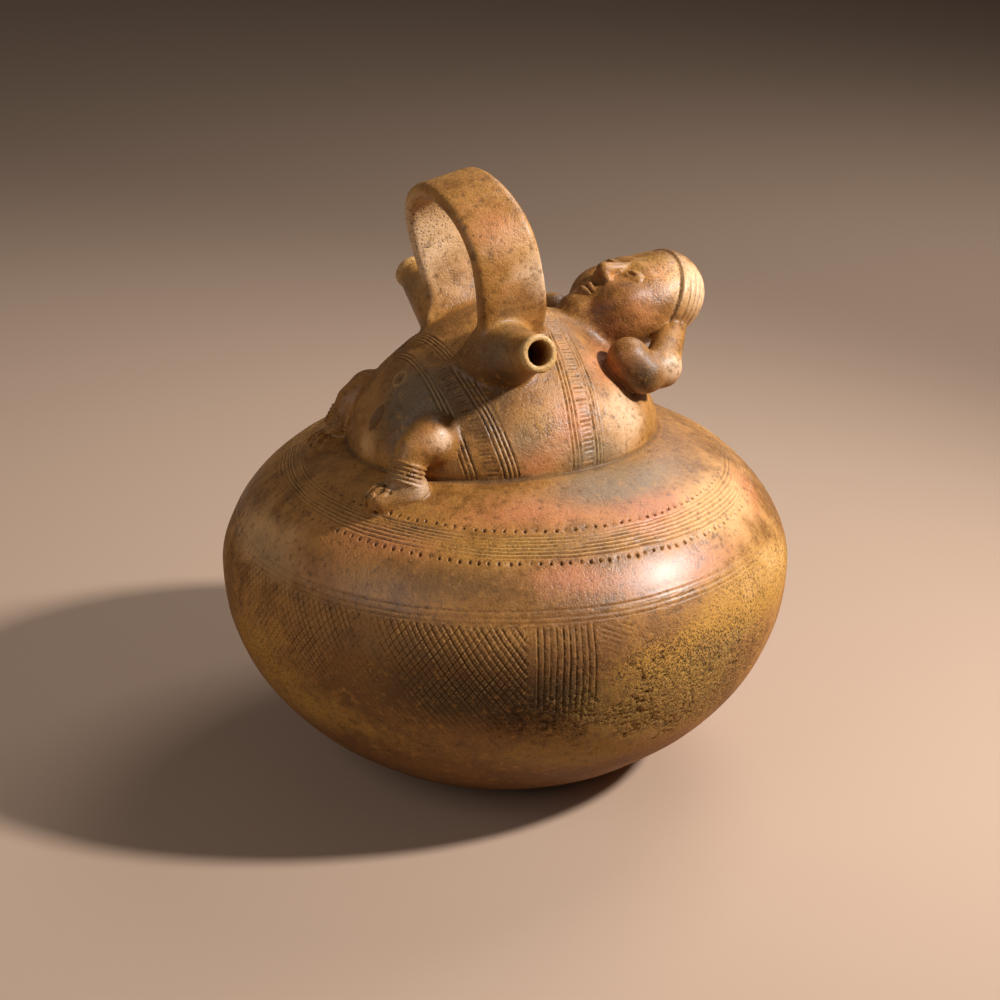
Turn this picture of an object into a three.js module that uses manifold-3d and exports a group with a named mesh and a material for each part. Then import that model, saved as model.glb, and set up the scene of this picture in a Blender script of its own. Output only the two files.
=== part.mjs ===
// Double spout and bridge vessel of fired clay: a round bowl that carries a reclining figure,
// with a spout on each flank of the figure and a strap bridge between them.
// Units are millimetres, +Z is up, +X runs from the figure's feet to its head.
import * as THREE from 'three';
import { mergeVertices } from 'three/addons/utils/BufferGeometryUtils.js';
import Module from 'manifold-3d';

const wasm = await Module();
wasm.setup();

// Bowl: outline in two halves that meet at the widest ring
const BOWL = { radius: 100, widestZ: 74, rise: 49.48, sink: 11.15, closeShare: 0.985 };
const BOWL_CURVE = { lowerN: 1.54, lowerM: 2.177, upperN: 2.967, upperM: 1.719 };
const BOWL_SIDES = 40;
const WALL = 6;
const RING_GROOVE = { width: 2.2, depth: 0.7, heights: [90.3, 104.1, 111.2] };

// Torso: a dome with an oval plan
const TORSO = { x: -0.8, z: 121.4, halfLength: 55.3, halfWidth: 48.9, height: 44.5, power: 1.54 };
const TORSO_FOOT_Z = 104;
const TORSO_SIDES = 30;
const INSIDE_SIDES = 18;
const BAND_GROOVE = { width: 1.6, depth: 0.9 };
const WAIST_BAND = { x: -30, lean: 8, lines: [-5.5, 5.5] };
const CHEST_BAND = { x: 9.5, lean: -4, lines: [-5, 5] };
const NAVEL = { x: -42, z: 143, radius: 2.6 };

// Spouts and bridge
const SPOUT = { x: -13, leftShift: 1, y: 51.5, z: 164.5, tilt: 18, length: 36, sides: 12 };
const SPOUT_SKIN = { mouthRadius: 6.3, baseRadius: 16, leftBaseRadius: 11.5, flarePower: 0.8 };
const SPOUT_LIP = { width: 1.6, round: 0.6 };
const BORE = { mouthRadius: 4.1, turnAt: 20, turnRadius: 5, root: [-13, 20, 145], rootRadius: 5.5 };
const STRAP = { x: -6, lean: 11.3, width: 27, thickness: 5.4, round: 2, crownShare: 0.8, leftFootTrim: 4 };
const ARCH = { halfSpan: 30.4, shoulderZ: 188.9, crown: 23.3, legDrop: 39, footZ: 152, pieces: 14 };

// Limbs, for the figure's right side; the left is its mirror image, with that leg set closer in
const HIP = { at: [-27, -18, 127], radius: 11 };
const KNEE = { at: [-42.8, -30.5, 132.5], radius: 8.4 };
const SHIN_TOP = { at: [-49, -31, 130], radius: 6.6 };
const ANKLE = { at: [-53.5, -32.5, 121], radius: 5.2 };
const ANKLET = { rings: 5, pitch: 1.5, radius: 6.5, depth: 0.8, raise: 2.6 };
const HEEL = { at: [-50.5, -34, 117], radius: 5.2 };
const TOES = { at: [-61.5, -31.5, 115.2], radius: 5.6 };
const TOE_SLIT = { count: 4, pitch: 2.0, width: 0.7, length: 7, forward: 5.8, raise: 4.3 };
const LEFT_LEG_SHIFT = [2.5, -6, -1.5];
const SHOULDER = { at: [33, -28, 148.6], radius: 7.6 };
const ELBOW = { at: [37.6, -30.5, 143.4], radius: 7.1 };
const FOREARM = { at: [45.6, -28.5, 143.8], radius: 6.9 };
const HAND = { at: [57.4, -15.5, 152], radius: 5 };

// Head: thrown back on the hands, its long axis rising towards the crown
const HEAD = { at: [49.2, 0, 158.8], rise: 18, halfLength: 26.5, halfWidth: 19, halfDepth: 15 };
const HAIR = { u: 9.5, n: -1.5, halfLength: 18, halfWidth: 20, halfDepth: 15.8 };
const HAIR_LINE = { places: [16.5, 21.5], width: 1.4, depthShare: 0.06 };
const HEAD_SIDES = 14;
const HEAD_RINGS = 9;
const NOSE = { u: -6.5, n: 14.6, length: 6.4, width: 3.3, height: 3.2 };
const EYE = { u: 0.5, y: 7.6, n: 12.6, length: 4.6, width: 2.6, height: 1.9 };
const EYE_SLIT = { width: 0.8, depth: 1, below: 0.6 };
const MOUTH = { u: -14.6, n: 12.2, width: 5.6, lip: 1.7 };
const MOUTH_SLIT = { width: 0.7, length: 10, depth: 1.5 };
const CHIN = { u: -21, n: 7.6, length: 5.2, width: 6.8, height: 4.2 };
const NECK = { from: [22, 0, 143], to: [42, 0, 155], fromRadius: 14, toRadius: 13 };

const CLAY = new THREE.MeshStandardMaterial({ color: 0x9a6238, roughness: 0.55, metalness: 0 });
const UP = new THREE.Vector3(0, 1, 0);
const RIGHT_ANGLE = Math.PI / 2;

// A closed geometry as a solid that can be joined and cut
function solid(geometry) {
  geometry.deleteAttribute('normal');
  geometry.deleteAttribute('uv');
  const merged = mergeVertices(geometry, 1e-4);
  const corners = merged.index.array;
  const kept = [];
  for (let i = 0; i < corners.length; i += 3) {
    const [a, b, c] = corners.slice(i, i + 3);
    if (a !== b && b !== c && c !== a) kept.push(a, b, c);
  }
  const vertProperties = new Float32Array(merged.attributes.position.array);
  return new wasm.Manifold(new wasm.Mesh({ numProp: 3, vertProperties, triVerts: new Uint32Array(kept) }));
}

function join(solids) {
  return solids.reduce((sum, next) => sum.add(next));
}

function cut(body, tools) {
  return tools.reduce((rest, tool) => rest.subtract(tool), body);
}

// A profile of [radius, height] pairs turned about the Z axis
function turned(profile, sides) {
  const points = profile.map(([r, z]) => new THREE.Vector2(r, z));
  return new THREE.LatheGeometry(points, sides).rotateX(RIGHT_ANGLE);
}

function steps(count, from, to) {
  return Array.from({ length: count + 1 }, (_, i) => from + ((to - from) * i) / count);
}

// Radius of the bowl at a height, for a surface that lies inset behind the outside
function bowlRadius(z, inset = 0) {
  const below = z < BOWL.widestZ;
  const reach = (below ? BOWL.widestZ + BOWL.sink : BOWL.rise) - inset;
  const { lowerN, lowerM, upperN, upperM } = BOWL_CURVE;
  const [m, n] = below ? [lowerM, lowerN] : [upperM, upperN];
  const share = Math.min(1, Math.abs(z - BOWL.widestZ) / reach);
  return (BOWL.radius - inset) * (1 - share ** m) ** (1 / n);
}

function bowlOutside() {
  const top = BOWL.widestZ + BOWL.rise * BOWL.closeShare;
  const plain = [...steps(7, 0, BOWL.widestZ), ...steps(4, BOWL.widestZ + 8, top)];
  const clear = (z) => RING_GROOVE.heights.every((h) => Math.abs(z - h) > RING_GROOVE.width);
  const half = RING_GROOVE.width / 2;
  const rows = plain.filter(clear).map((z) => [bowlRadius(z), z]);
  for (const h of RING_GROOVE.heights) {
    rows.push([bowlRadius(h - half), h - half]);
    rows.push([bowlRadius(h) - RING_GROOVE.depth, h - RING_GROOVE.depth / 2]);
    rows.push([bowlRadius(h + half), h + half]);
  }
  rows.sort((a, b) => a[1] - b[1]);
  return solid(turned([[0, 0], ...rows, [0, top]], BOWL_SIDES));
}

function bowlInside() {
  const rows = steps(7, WALL, BOWL.widestZ + BOWL.rise - WALL - 1).map((z) => [bowlRadius(z, WALL), z]);
  return solid(turned([[0, WALL], ...rows, [0, rows.at(-1)[1]]], INSIDE_SIDES));
}

// The torso's dome, inset behind its outside, with straight walls below its widest ring
function torsoDome(inset, footZ, sides = TORSO_SIDES) {
  const height = TORSO.height - inset;
  const rows = steps(7, 0, RIGHT_ANGLE).slice(0, -1).map((a) => [
    Math.cos(a) ** (2 / TORSO.power),
    TORSO.z + height * Math.sin(a) ** (2 / TORSO.power),
  ]);
  const geometry = turned([[0, footZ], [1, footZ], ...rows, [0, TORSO.z + height]], sides);
  geometry.scale(TORSO.halfLength - inset, TORSO.halfWidth - inset, 1);
  return solid(geometry.translate(TORSO.x, 0, 0));
}

// Lines cut across the torso: thin leaning slabs that reach one groove's depth below the skin
function bandGrooves(band) {
  const skin = torsoDome(-1, TORSO_FOOT_Z).subtract(torsoDome(BAND_GROOVE.depth, TORSO_FOOT_Z - 1));
  const lean = Math.atan2(band.lean, TORSO.height);
  const slabs = band.lines.map((offset) => {
    const slab = new THREE.BoxGeometry(BAND_GROOVE.width, 2 * BOWL.radius, 2 * BOWL.radius);
    return solid(slab.rotateY(-lean).translate(band.x + offset, 0, TORSO.z + TORSO.height / 2));
  });
  return skin.intersect(join(slabs));
}

// A round limb from one ball to another
function limb(from, to, sides = 8, arcSteps = 2) {
  const start = new THREE.Vector3(...from.at);
  const run = new THREE.Vector3(...to.at).sub(start);
  const length = run.length();
  const lean = Math.asin((from.radius - to.radius) / length);
  const arc = (radius, along, a0, a1) => steps(arcSteps, a0, a1).map((a) => {
    const out = Math.max(0, radius * Math.cos(a));
    return new THREE.Vector2(out, along + radius * Math.sin(a));
  });
  const points = [...arc(from.radius, 0, -RIGHT_ANGLE, lean), ...arc(to.radius, length, lean, RIGHT_ANGLE)];
  const turn = new THREE.Quaternion().setFromUnitVectors(UP, run.normalize());
  return solid(new THREE.LatheGeometry(points, sides).applyQuaternion(turn).translate(...from.at));
}

function ellipsoid(at, halves, sides = 8, rings = 6) {
  const ball = new THREE.SphereGeometry(1, sides, rings).rotateX(RIGHT_ANGLE);
  return ball.scale(...halves).translate(...at);
}

// Sides of the figure, each a function that places a ball given for its right side
function onRight(ball) {
  return ball;
}

function onLeft(ball, shift = [0, 0, 0]) {
  const [x, y, z] = ball.at;
  return { ...ball, at: [x + shift[0], -y + shift[1], z + shift[2]] };
}

function onLeftLeg(ball) {
  return onLeft(ball, LEFT_LEG_SHIFT);
}

// Stack of cord rings round an ankle
function anklet(shin, ankle) {
  const top = (ANKLET.rings * ANKLET.pitch) / 2;
  const rows = [];
  for (let i = 0; i < ANKLET.rings; i += 1) {
    const low = -top + i * ANKLET.pitch;
    rows.push([ANKLET.radius - ANKLET.depth, low]);
    rows.push([ANKLET.radius, low + ANKLET.pitch / 2]);
  }
  rows.push([ANKLET.radius - ANKLET.depth, top]);
  const geometry = turned([[0, -top], ...rows, [0, top]], 8);
  const along = new THREE.Vector3(...shin.at).sub(new THREE.Vector3(...ankle.at)).normalize();
  const turn = new THREE.Quaternion().setFromUnitVectors(new THREE.Vector3(0, 0, 1), along);
  const raised = along.multiplyScalar(ANKLET.raise);
  return solid(geometry.applyQuaternion(turn).translate(...ankle.at).translate(raised.x, raised.y, raised.z));
}

function leg(side) {
  const balls = [HIP, KNEE, SHIN_TOP, ANKLE, HEEL, TOES];
  const [hip, knee, shin, ankle, heel, toes] = balls.map((ball) => side(ball));
  return join([limb(hip, knee), limb(shin, ankle), anklet(shin, ankle), limb(heel, toes)]);
}

function toeSlits(side) {
  const [heel, toes] = [HEEL, TOES].map((ball) => side(ball));
  const yaw = Math.atan2(toes.at[1] - heel.at[1], toes.at[0] - heel.at[0]);
  const reach = (TOE_SLIT.pitch * (TOE_SLIT.count - 1)) / 2;
  return steps(TOE_SLIT.count - 1, -reach, reach).map((across) => {
    const slit = new THREE.BoxGeometry(TOE_SLIT.length, TOE_SLIT.width, 2 * TOES.radius);
    slit.translate(TOE_SLIT.forward, across, TOE_SLIT.raise);
    return solid(slit.rotateZ(yaw).translate(...toes.at));
  });
}

function arm(side) {
  const [shoulder, elbow, forearm, hand] = [SHOULDER, ELBOW, FOREARM, HAND].map((ball) => side(ball));
  return join([limb(shoulder, elbow), limb(elbow, forearm), limb(forearm, hand)]);
}

// The head is made lying flat, u towards the crown along X and n out of the face along Z, then set in place
function setOnHead(geometry) {
  return solid(geometry.rotateY(-THREE.MathUtils.degToRad(HEAD.rise)).translate(...HEAD.at));
}

function hairCap(scale) {
  const halves = [HAIR.halfLength, HAIR.halfWidth, HAIR.halfDepth].map((half) => half * scale);
  return ellipsoid([HAIR.u, 0, HAIR.n], halves, HEAD_SIDES, HEAD_RINGS);
}

function headSolids() {
  const halves = [HEAD.halfLength, HEAD.halfWidth, HEAD.halfDepth];
  const skull = ellipsoid([0, 0, 0], halves, HEAD_SIDES, HEAD_RINGS);
  const chin = ellipsoid([CHIN.u, 0, CHIN.n], [CHIN.length, CHIN.width, CHIN.height]);
  const nose = ellipsoid([NOSE.u, 0, NOSE.n], [NOSE.length, NOSE.width, NOSE.height]);
  const lids = [-1, 1].map((s) => ellipsoid([EYE.u, s * EYE.y, EYE.n], [EYE.width, EYE.length, EYE.height]));
  const lips = [-1, 1].map((s) =>
    ellipsoid([MOUTH.u + s * MOUTH.lip, 0, MOUTH.n], [MOUTH.lip, MOUTH.width, MOUTH.lip]));
  return [skull, hairCap(1), chin, nose, ...lids, ...lips].map(setOnHead);
}

function headGrooves() {
  const slits = [-1, 1].map((s) => {
    const slit = new THREE.BoxGeometry(EYE_SLIT.width, 2 * EYE.length, 2 * EYE_SLIT.depth);
    return slit.translate(EYE.u - EYE_SLIT.below, s * EYE.y, EYE.n + EYE.height);
  });
  const mouth = new THREE.BoxGeometry(MOUTH_SLIT.width, MOUTH_SLIT.length, 2 * MOUTH_SLIT.depth);
  mouth.translate(MOUTH.u, 0, MOUTH.n + MOUTH.lip);
  const grown = setOnHead(hairCap(1 + HAIR_LINE.depthShare));
  const sunk = setOnHead(hairCap(1 - HAIR_LINE.depthShare));
  const lines = HAIR_LINE.places.map((u) => {
    const slab = new THREE.BoxGeometry(HAIR_LINE.width, 3 * HAIR.halfWidth, 3 * HAIR.halfDepth);
    return setOnHead(slab.translate(u, 0, 0));
  });
  return [grown.subtract(sunk).intersect(join(lines)), ...[...slits, mouth].map(setOnHead)];
}

// Side -1 is the figure's right spout, side 1 its left one, which stands nearer the feet
function spoutX(side) {
  return SPOUT.x + (side > 0 ? SPOUT.leftShift : 0);
}

// Places a shape turned about Z so that its axis runs out through a spout's mouth
function onSpout(geometry, side) {
  geometry.rotateX(side * (THREE.MathUtils.degToRad(SPOUT.tilt) - RIGHT_ANGLE));
  return solid(geometry.translate(spoutX(side), side * SPOUT.y, SPOUT.z));
}

function spoutOutside(side) {
  const { mouthRadius, flarePower } = SPOUT_SKIN;
  const baseRadius = side > 0 ? SPOUT_SKIN.leftBaseRadius : SPOUT_SKIN.baseRadius;
  const neckRadius = mouthRadius - SPOUT_LIP.round;
  const flare = steps(5, 0, 1).map((s) => [
    baseRadius + (neckRadius - baseRadius) * s ** flarePower,
    (s - 1) * SPOUT.length - 2 * SPOUT_LIP.width,
  ]);
  const profile = [[0, flare[0][1]], ...flare, [mouthRadius, -SPOUT_LIP.width], [neckRadius, 0], [0, 0]];
  return onSpout(turned(profile, SPOUT.sides), side).subtract(underBridge());
}

// A straight run in from the mouth, then a wider turn down into the hollow torso
function spoutBore(side) {
  const { mouthRadius, turnAt, turnRadius, root, rootRadius } = BORE;
  const tilt = THREE.MathUtils.degToRad(SPOUT.tilt);
  const profile = [[0, -turnAt], [turnRadius, -turnAt], [mouthRadius, 0], [mouthRadius, 1], [0, 1]];
  const turnY = SPOUT.y - turnAt * Math.cos(tilt);
  const turnPoint = [spoutX(side), side * turnY, SPOUT.z - turnAt * Math.sin(tilt)];
  const inside = { at: [root[0], side * root[1], root[2]], radius: rootRadius };
  return onSpout(turned(profile, SPOUT.sides), side).add(limb({ at: turnPoint, radius: turnRadius }, inside));
}

// The bridge's arch in Y and Z, from foot to foot, for a face that lies inset behind the outside
function archPoints(inset) {
  const half = ARCH.halfSpan - inset;
  const crown = ARCH.crown - inset;
  const low = Math.asin((ARCH.shoulderZ - ARCH.footZ) / ARCH.legDrop);
  return steps(ARCH.pieces, -low, Math.PI + low).map((a) => {
    const high = Math.sin(a) > 0 ? crown : ARCH.legDrop;
    return new THREE.Vector2(half * Math.cos(a), ARCH.shoulderZ + high * Math.sin(a));
  });
}

// Turns a shape drawn in Y and Z, and extruded by a depth, to run evenly either side of X = 0
function stood(geometry, depth) {
  return geometry.translate(0, 0, -depth / 2).rotateX(RIGHT_ANGLE).rotateZ(RIGHT_ANGLE);
}

// Leans a standing arch on its feet, crown towards the figure's feet, and moves it to its place
function leaned(geometry) {
  const lean = THREE.MathUtils.degToRad(STRAP.lean);
  return geometry.translate(0, 0, -ARCH.footZ).rotateY(-lean).translate(STRAP.x, 0, ARCH.footZ);
}

// The room under the bridge, which no spout's root may enter above the torso
function underBridge() {
  const depth = 2 * STRAP.width;
  const outline = new THREE.Shape(archPoints(STRAP.thickness));
  const room = new THREE.ExtrudeGeometry(outline, { depth, bevelEnabled: false, steps: 1 });
  return solid(leaned(stood(room, depth)));
}

function bridge() {
  const { width, thickness, round, crownShare, leftFootTrim } = STRAP;
  const outline = new THREE.Shape([...archPoints(round), ...archPoints(thickness - round).reverse()]);
  const depth = width - 2 * round;
  const bevel = { bevelEnabled: true, bevelSize: round, bevelThickness: round, bevelSegments: 2 };
  const band = new THREE.ExtrudeGeometry(outline, { depth, steps: 1, ...bevel });
  const spot = stood(band, depth).attributes.position;
  for (let i = 0; i < spot.count; i += 1) {
    const share = Math.max(0, (spot.getZ(i) - ARCH.footZ) / (ARCH.shoulderZ + ARCH.crown - ARCH.footZ));
    const trim = spot.getX(i) < 0 && spot.getY(i) > 0 ? leftFootTrim * (1 - share) : 0;
    spot.setX(i, spot.getX(i) * (1 - (1 - crownShare) * share) + trim);
  }
  return solid(leaned(band));
}

function vesselSolid() {
  const neck = limb({ at: NECK.from, radius: NECK.fromRadius }, { at: NECK.to, radius: NECK.toRadius });
  const navel = solid(ellipsoid([NAVEL.x, 0, NAVEL.z], [NAVEL.radius, NAVEL.radius, NAVEL.radius]));
  const pot = bowlOutside().add(torsoDome(0, TORSO_FOOT_Z));
  const carved = cut(pot, [bandGrooves(WAIST_BAND), bandGrooves(CHEST_BAND), navel]);
  const figure = [leg(onRight), leg(onLeftLeg), arm(onRight), arm(onLeft), neck, ...headSolids()];
  const fittings = [spoutOutside(-1), spoutOutside(1), bridge()];
  const whole = join([carved, ...figure, ...fittings]);
  const hollow = [bowlInside(), torsoDome(WALL, BOWL.widestZ, INSIDE_SIDES), spoutBore(-1), spoutBore(1)];
  return cut(whole, [...toeSlits(onRight), ...toeSlits(onLeftLeg), ...headGrooves(), ...hollow]);
}

function meshOf(body, name, material) {
  const { vertProperties, triVerts } = body.getMesh();
  const geometry = new THREE.BufferGeometry();
  geometry.setAttribute('position', new THREE.BufferAttribute(vertProperties, 3));
  geometry.setIndex(new THREE.BufferAttribute(triVerts, 1));
  geometry.computeVertexNormals();
  const mesh = new THREE.Mesh(geometry, material);
  mesh.name = name;
  return mesh;
}

const model = new THREE.Group();
model.add(meshOf(vesselSolid(), 'vessel', CLAY));

export default model;
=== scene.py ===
import math

import bpy
import mathutils
import numpy as np
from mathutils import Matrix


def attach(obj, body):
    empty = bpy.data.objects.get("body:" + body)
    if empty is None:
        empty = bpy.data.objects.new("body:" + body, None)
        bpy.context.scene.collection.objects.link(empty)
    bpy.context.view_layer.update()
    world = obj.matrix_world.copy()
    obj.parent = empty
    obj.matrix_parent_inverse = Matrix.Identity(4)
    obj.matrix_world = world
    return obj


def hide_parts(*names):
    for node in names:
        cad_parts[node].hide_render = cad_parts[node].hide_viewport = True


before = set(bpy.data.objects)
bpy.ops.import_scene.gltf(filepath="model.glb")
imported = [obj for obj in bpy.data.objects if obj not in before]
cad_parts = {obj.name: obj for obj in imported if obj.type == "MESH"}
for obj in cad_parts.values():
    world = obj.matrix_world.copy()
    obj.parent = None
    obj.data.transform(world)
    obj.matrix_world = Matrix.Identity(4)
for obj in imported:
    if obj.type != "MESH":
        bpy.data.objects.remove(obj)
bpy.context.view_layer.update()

# sizes of the clay body in millimetres, the same as the solid's
WALL = 6.0
BOWL = {"radius": 100.0, "widest_z": 74.0, "rise": 49.48, "sink": 11.15, "base_round": 3.0}
BOWL_POWER = {"lower_n": 1.54, "lower_m": 2.177, "upper_n": 2.967, "upper_m": 1.719}
TORSO = {"x": -0.8, "z": 121.4, "length": 55.3, "width": 48.9, "height": 44.5, "power": 1.54}
SPOUT = {"x": -13.0, "left_shift": 1.0, "y": 51.5, "z": 164.5, "tilt": 18.0, "length": 36.0, "root": 39.2}
SPOUT_SKIN = {"mouth": 6.3, "base": 16.0, "left_base": 11.5, "flare": 0.8, "slant": 0.96}
SPOUT_LIP = {"back": 1.6, "half": 0.5, "round": 1.0, "neck": 0.5, "cut": 0.4}
BORE = {"mouth": 4.1, "turn_at": 20.0, "turn": 5.0, "root": 5.5}
BORE_ROOT = {"x": -13.0, "y": 20.0, "z": 145.0}
STRAP = {"x": -6.0, "lean": 11.3, "width": 27.6, "thickness": 5.4, "round": 1.6, "crown_share": 0.8}
LEFT_FOOT_TRIM = 4.0
ARCH = {"half_span": 30.4, "shoulder_z": 188.9, "crown": 23.3, "leg_drop": 39.0, "foot_z": 152.0}

# limbs as balls (x, y, z, radius) on the right side of the figure
HIP = (-27.0, -18.0, 127.0, 11.0)
KNEE = (-42.8, -30.5, 132.5, 8.2)
SHIN_TOP = (-49.0, -31.0, 130.0, 6.2)
ANKLE = (-53.5, -32.5, 121.0, 5.0)
HEEL = (-50.5, -34.0, 117.0, 5.0)
TOES = (-61.5, -31.5, 115.2, 5.6)
SHOULDER = (33.0, -28.0, 148.6, 7.4)
ELBOW = (37.6, -30.5, 143.4, 7.0)
FOREARM = (45.6, -28.5, 143.8, 6.7)
HAND = (57.4, -15.5, 152.0, 4.9)
LEFT_LEG_SHIFT = (2.5, -6.0, -1.5)
ANKLET = {"rings": 5, "pitch": 1.5, "radius": 5.9, "swell": 0.5, "raise": 2.6}
TOE_SLIT = {"count": 4, "pitch": 2.1, "width": 0.9, "depth": 1.6, "back": 3.5}

# head in its own axes: u to the crown, w across, n out of the face
HEAD = {"x": 49.2, "z": 158.8, "rise": 18.0, "size": (26.5, 19.0, 15.0), "flat": 12.8}
HAIR = {"at": (9.0, 0.0, -1.6), "size": (18.0, 19.4, 15.4), "edge": 8.3, "slope": 1.0}
HAIR_STROKES = (3.6, 6.6, 9.4)
HAIR_CUT = {"edge": 0.4, "edge_width": 0.9, "stroke": 0.45, "stroke_width": 0.8, "bend": 0.014}
NECK = ((22.0, 0.0, 143.0, 14.0), (42.0, 0.0, 155.0, 13.0))
BROW = {"u": 5.6, "w": 10.5, "n": 10.6, "radius": 2.4}
NOSE = {"top": (4.5, 0.0, 11.6, 1.7), "tip": (-6.2, 0.0, 15.6, 2.7), "wing": (-7.4, 2.8, 13.5, 1.9)}
EYE = {"at": (0.4, 7.8, 11.9), "size": (2.7, 4.9, 1.9)}
LIPS = {"upper": -13.1, "lower": -16.0, "half": 4.2, "n": 12.2, "radius": 1.5}
CHIN = {"at": (-21.0, 0.0, 7.6), "size": (5.2, 6.8, 4.2)}
CHEEK = {"at": (-6.5, 9.8, 7.2), "size": (8.5, 6.5, 5.2)}

# incised decoration
RING_CENTRE = (2.5, -1.25)
DOT_RINGS = (72.7, 83.0)
DOT = {"pitch": 3.3, "radius": 0.72, "depth": 0.8}
COMB = {"first": 74.4, "pitch": 1.12, "count": 7, "width": 0.52, "depth": 0.34}
BELT_LINES = (91.9, 89.9, 88.4)
BELT = {"width": 0.48, "depth": 0.24}
BAND_LEAN_HEIGHT = 44.5
WAIST_BAND = {"x": -30.0, "lean": 8.0, "lines": (-7.6, -6.2, -4.8, 3.4, 5.0, 6.4, 7.8)}
CHEST_BAND = {"x": 9.5, "lean": -4.0, "lines": (-6.4, -4.9, -3.4, 3.0, 4.4, 5.8)}
BAND = {"width": 0.6, "depth": 0.38, "narrow": 0.28}
BAND_RUNG = {"pitch": 1.55, "half": 2.1, "width": 0.62, "depth": 0.4}
NAVEL = {"at": (-41.2, -3.3, 145.0), "radius": 2.8}
NAVEL_CUT = {"rim": 0.15, "rim_width": 1.5, "dip": 0.45, "dip_width": 2.2}
OVAL_MARK = {"at": (-51.0, -4.4, 133.2), "half": 3.0, "tall": 4.8, "depth": 1.6}

# hatched panels: bearing from and to, z from and to, line angle, pitch, depth
PANELS = (
    (-78.0, 4.5, 46.0, 87.8, -54.0, 1.95, 0.4),
    (-66.0, 4.5, 58.0, 87.8, 51.0, 2.1, 0.3),
    (4.9, 17.6, 52.0, 87.6, 90.0, 2.1, 0.42),
    (18.0, 25.5, 76.0, 86.6, -24.0, 1.6, 0.4),
    (20.0, 29.0, 47.0, 54.0, -6.0, 1.7, 0.34),
    (52.0, 62.5, 71.0, 87.4, 84.0, 1.8, 0.36),
    (64.0, 82.0, 71.0, 86.6, 4.0, 2.0, 0.38),
    (-58.0, -2.0, 27.0, 46.0, -40.0, 1.5, 0.16),
)
BACK_PANELS = {"from": 86.0, "to": 276.0, "count": 8, "gap": 2.0}
BACK_HATCH = {"z": (56.0, 87.2), "pitch": 2.6, "depth": 0.26}
BACK_PANEL_ANGLES = (-45.0, 90.0, 45.0, 0.0)
HATCH_WIDTH = 0.55

# the joint between torso and bowl, wear and the hand-made unevenness
JOINT = {"depth": 0.5, "width": 2.4, "low": 110.0, "high": 124.0}
WORN_PATCHES = ((34.0, 58.0, 27.0, 19.0, 1.0), (8.0, 57.0, 12.0, 10.0, 0.7))
FINE_PITS = {"size": 1.5, "depth": 0.38}
COARSE_PITS = {"size": 2.6, "depth": 0.55, "spread": 12.0}
UNEVEN = {"height": 0.28, "size": 17.0}
FIGURE_Z = 98.0

# colour patches on the bowl, some of them painted light and shade: kind, bearing, z, spread of each,
# strength
BOWL_PATCHES = (
    ("red", 45.0, 110.0, 15.0, 4.5, 1.0),
    ("red", 78.0, 103.0, 11.0, 6.0, 1.0),
    ("red", 40.0, 97.0, 24.0, 6.0, 0.8),
    ("red", 12.0, 101.0, 10.0, 5.0, 0.6),
    ("red", -50.0, 95.0, 20.0, 7.0, 0.5),
    ("red", 170.0, 98.0, 35.0, 9.0, 0.7),
    ("grey", 40.0, 117.0, 26.0, 3.2, 1.0),
    ("grey", 72.0, 114.0, 14.0, 4.0, 0.3),
    ("grey", -26.0, 80.0, 16.0, 9.0, 0.4),
    ("grey", -58.0, 92.0, 14.0, 7.0, 0.6),
    ("grey", 45.0, 68.0, 14.0, 8.0, 0.6),
    ("grey", 215.0, 80.0, 30.0, 16.0, 0.6),
    # fire-cloud soot, deepened into painted shade on the front of the bowl
    ("soot_and_painted_shadow", 13.0, 62.0, 11.0, 9.0, 0.5),
    ("soot_and_painted_shadow", 27.0, 52.0, 16.0, 6.0, 0.35),
    ("soot_and_painted_shadow", -8.0, 64.0, 20.0, 13.0, 0.8),
    ("olive", 34.0, 58.0, 24.0, 14.0, 1.0),
    ("olive", 22.0, 38.0, 30.0, 10.0, 0.9),
    ("olive", -40.0, 44.0, 26.0, 12.0, 0.6),
    ("gold", -57.0, 60.0, 16.0, 16.0, 0.6),
    ("gold", -42.0, 44.0, 22.0, 10.0, 0.4),
    ("gold", 34.0, 70.0, 16.0, 9.0, 0.8),
    ("gold", 62.0, 80.0, 22.0, 12.0, 1.0),
    ("gold", 2.0, 108.0, 24.0, 6.0, 0.5),
    ("red", 8.0, 114.0, 26.0, 4.0, 0.7),
    ("red", -30.0, 106.0, 20.0, 5.0, 0.6),
    ("gold", 130.0, 66.0, 30.0, 18.0, 0.8),
    # painted light on the lit right shoulder of the bowl and a painted sheen on the left shoulder
    ("painted_light", 64.0, 105.0, 24.0, 8.0, 0.9),
    ("painted_light", 66.0, 84.0, 16.0, 10.0, 0.6),
    ("painted_light", -62.0, 94.0, 18.0, 9.0, 0.9),
    # painted shade on the front and lower front of the bowl, which face away from the key light, and
    # darker on the back
    ("umber_and_painted_shade", -8.0, 99.0, 24.0, 6.0, 0.7),
    ("umber_and_painted_shade", -4.0, 68.0, 34.0, 18.0, 1.0),
    ("umber_and_painted_shade", -20.0, 44.0, 44.0, 16.0, 1.0),
    ("umber_and_painted_shade", 0.0, 18.0, 70.0, 14.0, 0.8),
    ("umber_and_painted_shade", 190.0, 55.0, 60.0, 24.0, 0.6),
)
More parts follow.
